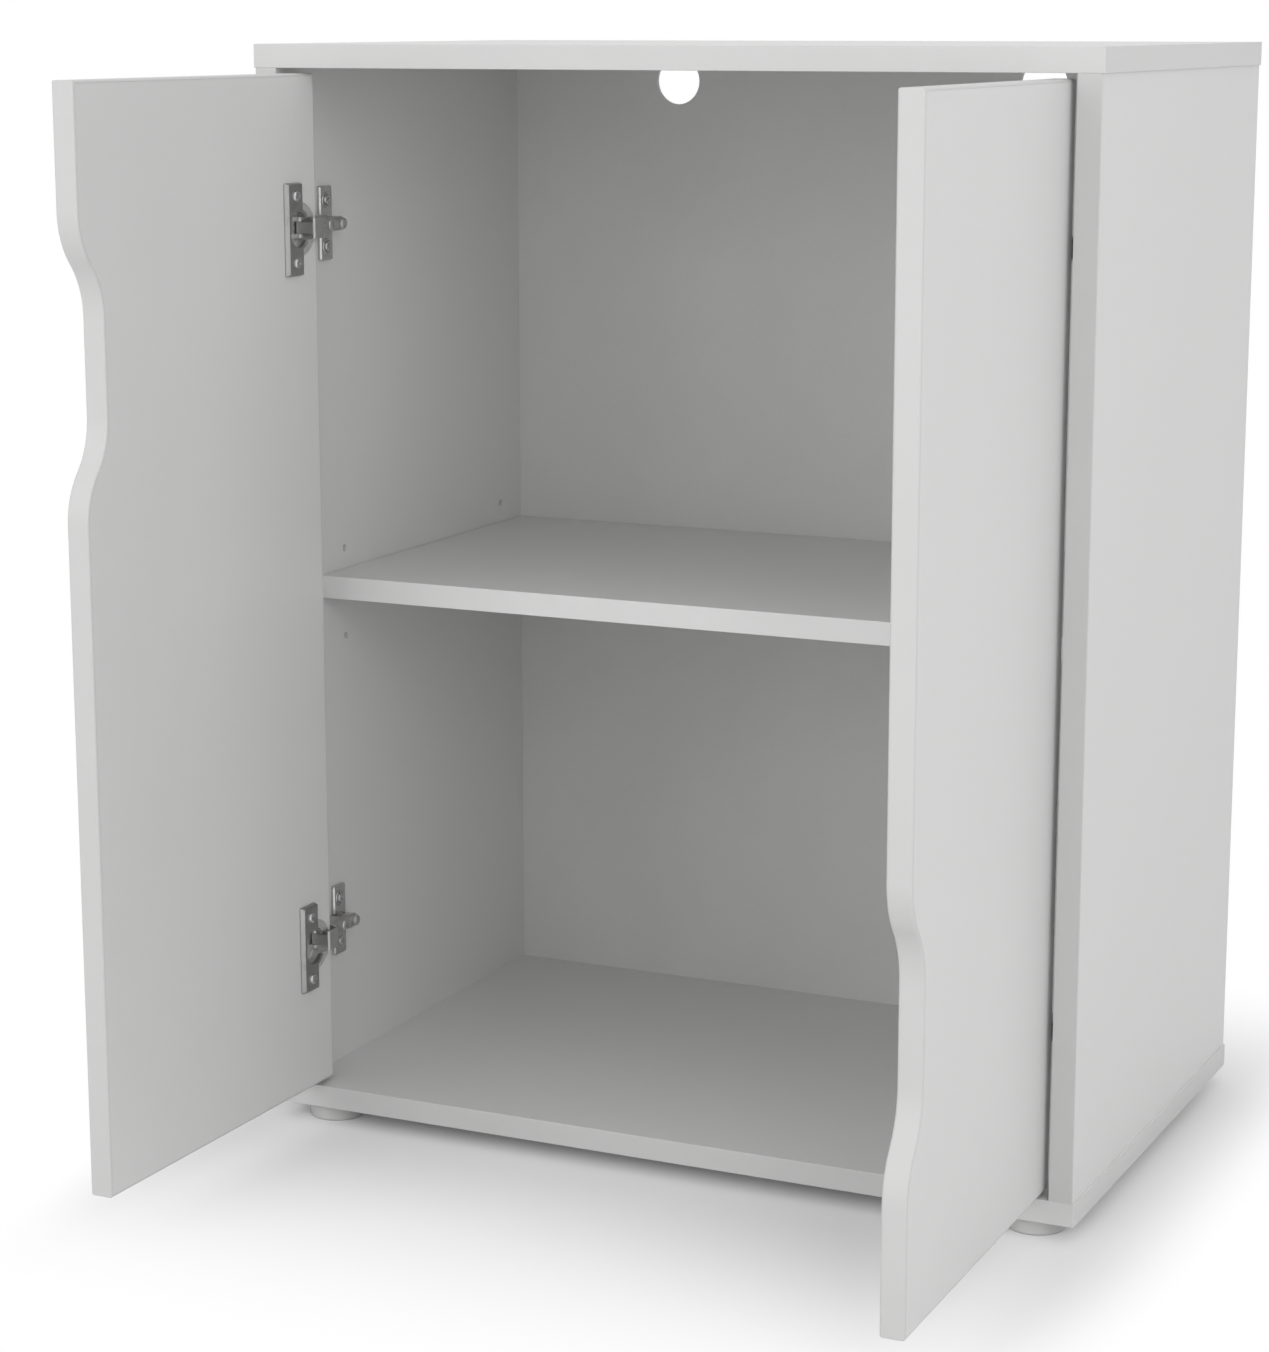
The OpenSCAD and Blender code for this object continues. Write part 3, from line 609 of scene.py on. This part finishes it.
# Hinge arms: satin nickel-plated steel, a strip with an eye round the pin, cranked round the
# door's corner, then a channel over the bridge that narrows to a bright domed catch.
satin_nickel = finish_material(
    "satin_nickel", plated_metal,
    {"Colour": (0.60, 0.597, 0.59, 1), "Streak Size": 0.0007, "Streak Tone": 0.12,
     "Gloss": 0.46, "Gloss Drift": 0.14, "Dull Patches": 0.06},
    relief=0.00001, metallic=1.0)
arm_half, arm_top, arm_thick, arm_round = 7, 14.8, 1.4, 2.4
neck_half, neck_top, neck_round = 5.0, 13.7, 2.0
shoulder, dome_middle = 41, 61
neck_end = dome_middle - 4.4
eye_radius, eye_half = 2.1, 4
strip_level, strip_start, bend_radius = -2.4, 0.4, 1.9
crank_before, crank_long, web_lap = 2.5, 6.3, 3
pivot_in = side_face - abs(hinge["right_door"]["pos_m"][0]) / mm
turn_radius = math.hypot(pivot_from_edge, board - pivot_from_front) + 0.6


def channel(stations, foot):
    """A pressed channel with round shoulders: each station is (behind the front, half width,
    height, shoulder radius)."""
    rings = []
    for y, half, top, r in stations:
        inner = r - arm_thick if r > arm_thick + 0.1 else 0.1
        outer_path = ([(foot, -half)] + arc((top - r, r - half), r, 270, 360, 6)
                      + arc((top - r, half - r), r, 0, 90, 6) + [(foot, half)])
        lift = top - arm_thick - inner
        inside = half - arm_thick - inner
        inner_path = ([(foot, half - arm_thick)] + arc((lift, inside), inner, 90, 0, 6)
                      + arc((lift, -inside), inner, 0, -90, 6) + [(foot, arm_thick - half)])
        rings.append([(h, y, z) for h, z in outer_path + inner_path])
    return loft(rings, closed=False)


def hinge_arm():
    """The eye, the strip, the crank, the channel and the catch. What lies at the pin is
    measured from it."""
    def at_pin(outline, half):
        return loft([[(pivot_in + x, pivot_from_front + y, z) for x, y in outline]
                     for z in (-half, half)], closed=False)

    outer = turn_radius + arm_thick
    crank_y = turn_radius - crank_before
    web_y = crank_y + crank_long
    web_out, web_in = arm_top - pivot_in, arm_top - arm_thick - pivot_in
    eye = arc((0, 0), eye_radius, 0, 345, 23)
    strip = [(strip_start, strip_level), (outer - 2, strip_level),
             (outer - 2, strip_level + arm_thick), (strip_start, strip_level + arm_thick)]
    bend_middle = (outer - bend_radius, strip_level + bend_radius)
    crank = (arc(bend_middle, bend_radius, -90, 0, 8)
             + [(outer, crank_y), (web_out, web_y), (web_out, web_y + web_lap),
                (web_in, web_y + web_lap), (web_in, web_y - arm_thick / 2),
                (turn_radius, crank_y - arm_thick / 2)]
             + arc(bend_middle, bend_radius - arm_thick, 0, -90, 8))
    parts = [at_pin(eye, eye_half), at_pin(strip, eye_half), at_pin(crank, arm_half)]
    parts.append(channel([(pivot_from_front + web_y + 0.5, arm_half, arm_top, arm_round),
                          (shoulder, arm_half, arm_top, arm_round),
                          (shoulder + 1.5, neck_half + 0.8, arm_top - 0.5, 2.2),
                          (shoulder + 2.5, neck_half, neck_top, neck_round),
                          (neck_end, neck_half, neck_top, neck_round)], wing_thick + 1))
    tail = ([(neck_end, -neck_half)] + arc((dome_middle, 0), neck_half, -90, 90, 24)
            + [(neck_end, neck_half)])
    parts.append(upright_plate(tail, neck_top - 2.2, neck_top - 0.5))
    knob = ([(0, -1.0), (3.9, -1.0), (3.9, 1.6)] + arc((2.5, 1.6), 1.4, 0, 60, 5)
            + [(2.0, 3.05), (1.0, 3.2), (0, 3.25)])
    points, faces = turned(knob, 48)
    parts.append(([(neck_top - 0.2 + h, dome_middle + y, z) for z, y, h in points], faces))
    return joined(parts)


for side in ("left", "right"):
    for level, height in hinge_heights.items():
        name = f"{side}_{level}_hinge_arm"
        made = piece(name, hinge_arm(), satin_nickel, "cabinet", [name],
                     place=side_place(side, height), sharp=40)
        rounded(made, 0.25, 2, 50)


# Screws: zinc-plated pan heads with a cross recess, driven into the boards, the bridge and the
# glides. One Geometry Nodes tree turns every size of them on its own seat.
def screw_tree():
    """The tree that turns one screw of the given sizes on every point."""
    tree = bpy.data.node_groups.new("pan_head_screws", "GeometryNodeTree")
    tree.interface.new_socket("Geometry", in_out="INPUT", socket_type="NodeSocketGeometry")
    sizes = (("Head Diameter", 7.5 * mm), ("Head Height", 2 * mm), ("Shank Diameter", 3.5 * mm),
             ("Shank Length", 14 * mm), ("Recess Width", 0.9 * mm), ("Recess Length", 4 * mm),
             ("Recess Depth", 1.1 * mm))
    for label, value in sizes:
        tree.interface.new_socket(label, in_out="INPUT",
                                  socket_type="NodeSocketFloat").default_value = value
    tree.interface.new_socket("Metal", in_out="INPUT", socket_type="NodeSocketMaterial")
    tree.interface.new_socket("Geometry", in_out="OUTPUT", socket_type="NodeSocketGeometry")
    given = put(tree, "NodeGroupInput").outputs
    gives = put(tree, "NodeGroupOutput").inputs

    def turned_rod(low, high, radius, steps):
        start = put(tree, "ShaderNodeCombineXYZ", {"Z": low}).outputs[0]
        end = put(tree, "ShaderNodeCombineXYZ", {"Z": high}).outputs[0]
        axis = put(tree, "GeometryNodeCurvePrimitiveLine", {"Start": start, "End": end}).outputs[0]
        cut = put(tree, "GeometryNodeResampleCurve", {"Curve": axis, "Count": steps}).outputs[0]
        circle = put(tree, "GeometryNodeCurvePrimitiveCircle",
                     {"Resolution": 40, "Radius": 1.0}).outputs[0]
        return put(tree, "GeometryNodeCurveToMesh",
                   {"Curve": cut, "Profile Curve": circle, "Scale": radius,
                    "Fill Caps": True}).outputs[0]

    # The head's radius falls from its seat to a small flat top, the shank's to a blunt point
    short_of_top, fullness, roundness = 0.992, 3.2, 0.42
    point_share, point_blunt, into_head = 5.0, 0.12, 0.2 * mm
    along = put(tree, "GeometryNodeSplineParameter").outputs["Factor"]
    risen = number(tree, "POWER", number(tree, "MULTIPLY", along, short_of_top), fullness)
    dome = number(tree, "POWER", number(tree, "SUBTRACT", 1.0, risen), roundness)
    head_radius = number(tree, "MULTIPLY", given["Head Diameter"], 0.5)
    head = turned_rod(0.0, given["Head Height"], number(tree, "MULTIPLY", head_radius, dome), 16)
    point = number(tree, "MINIMUM", number(tree, "MULTIPLY", along, point_share), 1.0)
    blunt = number(tree, "MAXIMUM", point, point_blunt)
    shank_radius = number(tree, "MULTIPLY", given["Shank Diameter"], 0.5)
    shank = turned_rod(number(tree, "MULTIPLY", given["Shank Length"], -1.0), into_head,
                       number(tree, "MULTIPLY", shank_radius, blunt), 24)
    bars = []
    for length, width in (("Recess Length", "Recess Width"), ("Recess Width", "Recess Length")):
        size = put(tree, "ShaderNodeCombineXYZ",
                   {"X": given[length], "Y": given[width],
                    "Z": number(tree, "MULTIPLY", given["Recess Depth"], 2.0)}).outputs[0]
        bar = put(tree, "GeometryNodeMeshCube", {"Size": size}).outputs[0]
        lift = put(tree, "ShaderNodeCombineXYZ", {"Z": given["Head Height"]}).outputs[0]
        bars.append(put(tree, "GeometryNodeTransform",
                        {"Geometry": bar, "Translation": lift}).outputs[0])
    cut_head = put(tree, "GeometryNodeMeshBoolean", operation="DIFFERENCE")
    tree.links.new(head, cut_head.inputs[0])
    for bar in bars:
        tree.links.new(bar, cut_head.inputs[1])
    screw = put(tree, "GeometryNodeJoinGeometry")
    tree.links.new(cut_head.outputs[0], screw.inputs[0])
    tree.links.new(shank, screw.inputs[0])
    facing = put(tree, "GeometryNodeInputNamedAttribute", {"Name": "facing"},
                 data_type="FLOAT_VECTOR").outputs[0]
    turn = put(tree, "FunctionNodeAlignRotationToVector", {"Vector": facing}, axis="Z").outputs[0]
    placed = put(tree, "GeometryNodeInstanceOnPoints",
                 {"Points": given["Geometry"], "Instance": screw.outputs[0],
                  "Rotation": turn}).outputs[0]
    real = put(tree, "GeometryNodeRealizeInstances", {"Geometry": placed}).outputs[0]
    coated = put(tree, "GeometryNodeSetMaterial",
                 {"Geometry": real, "Material": given["Metal"]}).outputs[0]
    tree.links.new(coated, gives[0])
    return tree


screws = screw_tree()


def drive(label, seats, facing, body, **sizes):
    """Puts one screw of the given sizes on every seat, in millimetres, and keeps plain meshes."""
    mesh = bpy.data.meshes.new(label)
    mesh.from_pydata([Vector(s) * mm for s in seats], [], [])
    ways = mesh.attributes.new("facing", "FLOAT_VECTOR", "POINT")
    for k, way in enumerate(facing):
        ways.data[k].vector = way
    seat = bpy.data.objects.new(label + "_seats", mesh)
    world_scene.collection.objects.link(seat)
    nodes = seat.modifiers.new("screws", "NODES")
    nodes.node_group = screws
    ids = {s.name: s.identifier for s in screws.interface.items_tree if s.in_out == "INPUT"}
    for size, value in sizes.items():
        nodes[ids[size.replace("_", " ").title()]] = value * mm
    nodes[ids["Metal"]] = bright_zinc
    evaluated = seat.evaluated_get(bpy.context.evaluated_depsgraph_get())
    plain = bpy.data.meshes.new_from_object(evaluated)
    plain.name = label
    bpy.data.objects.remove(seat)
    plain.shade_smooth()
    plain.set_sharp_from_angle(angle=math.radians(35))
    made = bpy.data.objects.new(label + "_detail", plain)
    world_scene.collection.objects.link(made)
    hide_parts(label)
    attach(made, body)


def seats_of(places, local, outward):
    """Every place's seats and the way that each screw's head faces."""
    seats = [place @ Vector(point) for place in places for point in local]
    ways = [(place.to_3x3() @ Vector(outward)).normalized() for place in places for _ in local]
    return seats, ways


# Where the screws sit on a hinge: two beyond the cup's middle, two in the plate's wings, and
# along the arm the fixing screw before the plate's middle and the adjusting one on the bridge
cup_screw_beyond, cup_screw_up = 9.5, 22.5
fixing_screw_before, adjusting_screw_in = 12, 5
for side in ("left", "right"):
    places = [door_place(side) @ Matrix.Translation((0, h, 0)) for h in hinge_heights.values()]
    seats, ways = seats_of(places, [(cup_middle + cup_screw_beyond, s * cup_screw_up, flange_thick)
                                    for s in (-1, 1)], (0, 0, 1))
    drive(side + "_cup_screws", seats, ways, side + "_door", shank_length=14.5)
places = [side_place(s, h) for s in ("left", "right") for h in hinge_heights.values()]
seats, ways = seats_of(places, [(wing_thick, plate_middle, s * plate_screw_up) for s in (-1, 1)],
                       (1, 0, 0))
drive("mounting_plate_screws", seats, ways, "cabinet", shank_length=14)
seats, ways = seats_of(places, [(neck_top, plate_middle - fixing_screw_before, 0)], (1, 0, 0))
drive("arm_fixing_screws", seats, ways, "cabinet", head_diameter=8, shank_diameter=5,
      shank_length=8.6)
seats, ways = seats_of(places, [(arm_top, bridge_near + adjusting_screw_in, 0)], (1, 0, 0))
drive("arm_adjusting_screws", seats, ways, "cabinet", head_diameter=5, head_height=1.2,
      shank_diameter=5, shank_length=8.6, recess_depth=0.9)
foot_seats = []
for name in glides:
    low, high = (Vector(c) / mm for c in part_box(name))
    foot_seats.append(((low.x + high.x) / 2, (low.y + high.y) / 2, glide_seat))
drive("glide_screws", foot_seats, [(0, 0, -1)] * len(glides), "cabinet", shank_length=16)


# Studio: a pale floor that fades into a white surround, a sky that brightens towards the zenith and
# three soft lamps, at the level at which a colour renders about as it is written. Round the carcass
# the floor's grey is partly its real shadow and partly painted shade, which fades out to white with
# distance, sooner at the sides than in front.
floor_reach = 30
# Camera and glossy rays see the floor darker than bounce light does: painted shade near the
# carcass.
floor_white, painted_shade_seen = 0.80, -0.04
# The fade's reach and its sideways weight set where the painted shade round the carcass ends.
fade_reach, sideways_weight = 0.36, 4.2
# The hindmost part of the carcass doesn't count in the fade
hidden_back = 100
carcass_middle = (carcass_low.y + carcass_high.y - hidden_back) / 2 * mm
carcass_reach = (carcass_high.y - carcass_low.y - hidden_back) / 2 * mm
floor_mesh = bpy.data.meshes.new("studio_floor")
floor_mesh.from_pydata([(-floor_reach, -floor_reach, 0), (floor_reach, -floor_reach, 0),
                        (floor_reach, floor_reach, 0), (-floor_reach, floor_reach, 0)],
                       [], [(0, 1, 2, 3)])
floor = bpy.data.objects.new("studio_floor", floor_mesh)
world_scene.collection.objects.link(floor)
paper = bpy.data.materials.new("studio_paper")
paper.use_nodes = True
tree = paper.node_tree
tree.nodes.clear()


def by_axis(operation, *values):
    """A node that reckons with vectors, in the floor's material."""
    return put(tree, "ShaderNodeVectorMath", dict(enumerate(values)), operation=operation).outputs


# How far a point lies outside the carcass, told from its middle; sideways it counts for more
seen = put(tree, "ShaderNodeLightPath").outputs
place = put(tree, "ShaderNodeTexCoord").outputs["Object"]
apart = by_axis("ABSOLUTE", by_axis("SUBTRACT", place, (0, carcass_middle, 0))[0])[0]
beyond = by_axis("SUBTRACT", apart, (carcass_high.x * mm, carcass_reach, 0))[0]
outside = by_axis("MAXIMUM", beyond, (0, 0, 0))[0]
away = by_axis("LENGTH", by_axis("MULTIPLY", outside, (sideways_weight, 1, 0))[0])["Value"]
fade = put(tree, "ShaderNodeMapRange", {"Value": away, "From Min": 0.0, "From Max": fade_reach},
           interpolation_type="SMOOTHSTEP").outputs["Result"]
# Near the carcass the camera and glossy rays see the grey floor with its painted shade; further out
# it turns to white.
looked = number(tree, "MAXIMUM", seen["Is Camera Ray"], seen["Is Glossy Ray"])
whiter = number(tree, "MULTIPLY_ADD", looked, painted_shade_seen, floor_white)
grey = put(tree, "ShaderNodeCombineColor", {"Red": whiter, "Green": whiter, "Blue": whiter})
matt = put(tree, "ShaderNodeBsdfDiffuse", {"Color": grey.outputs[0], "Roughness": 1.0})
white = put(tree, "ShaderNodeEmission", {"Color": (1, 1, 1, 1), "Strength": 1.0})
mixed = put(tree, "ShaderNodeMixShader",
            {0: number(tree, "MULTIPLY", fade, looked), 1: matt.outputs[0], 2: white.outputs[0]})
put(tree, "ShaderNodeOutputMaterial", {"Surface": mixed.outputs[0]})
floor_mesh.materials.append(paper)

# The sky is white where it is seen and lights the cabinet from above
zenith_glow = 1.10
sky = bpy.data.worlds.new("studio_sky")
sky.use_nodes = True
tree = sky.node_tree
tree.nodes.clear()
seen = put(tree, "ShaderNodeLightPath").outputs
clear = number(tree, "MAXIMUM", seen["Is Camera Ray"], seen["Is Transmission Ray"])
seen_sky = number(tree, "MAXIMUM", clear, seen["Is Glossy Ray"])
way = put(tree, "ShaderNodeTexCoord").outputs["Generated"]
height = put(tree, "ShaderNodeSeparateXYZ", {0: way}).outputs["Z"]
glow = spread(tree, height, 0.0, 1.0, 0.0, zenith_glow)
lamp = put(tree, "ShaderNodeBackground", {"Color": (1, 1, 1, 1), "Strength": glow})
white = put(tree, "ShaderNodeBackground", {"Color": (1, 1, 1, 1), "Strength": 1.0})
mixed = put(tree, "ShaderNodeMixShader", {0: seen_sky, 1: lamp.outputs[0], 2: white.outputs[0]})
put(tree, "ShaderNodeOutputWorld", {"Surface": mixed.outputs[0]})
world_scene.world = sky

softbox_side = 3.2
aimed_at = Vector((0, 0, 0.4))
for label, stand, watts in (("right_lamp", (3.2, -2.6, 1.6), 70),
                            ("left_lamp", (-2.2, -3.6, 1.6), 50),
                            ("front_lamp", (0.2, -4.2, 0.9), 24)):
    softbox = bpy.data.lights.new(label, "AREA")
    softbox.shape = "RECTANGLE"
    softbox.size, softbox.size_y = softbox_side, softbox_side
    softbox.energy = watts
    lamp_stand = bpy.data.objects.new(label, softbox)
    aim = (aimed_at - Vector(stand)).to_track_quat("-Z", "Y").to_matrix().to_4x4()
    lamp_stand.matrix_world = Matrix.Translation(stand) @ aim
    lamp_stand.visible_glossy = False
    world_scene.collection.objects.link(lamp_stand)

world_scene.view_settings.view_transform = "Standard"
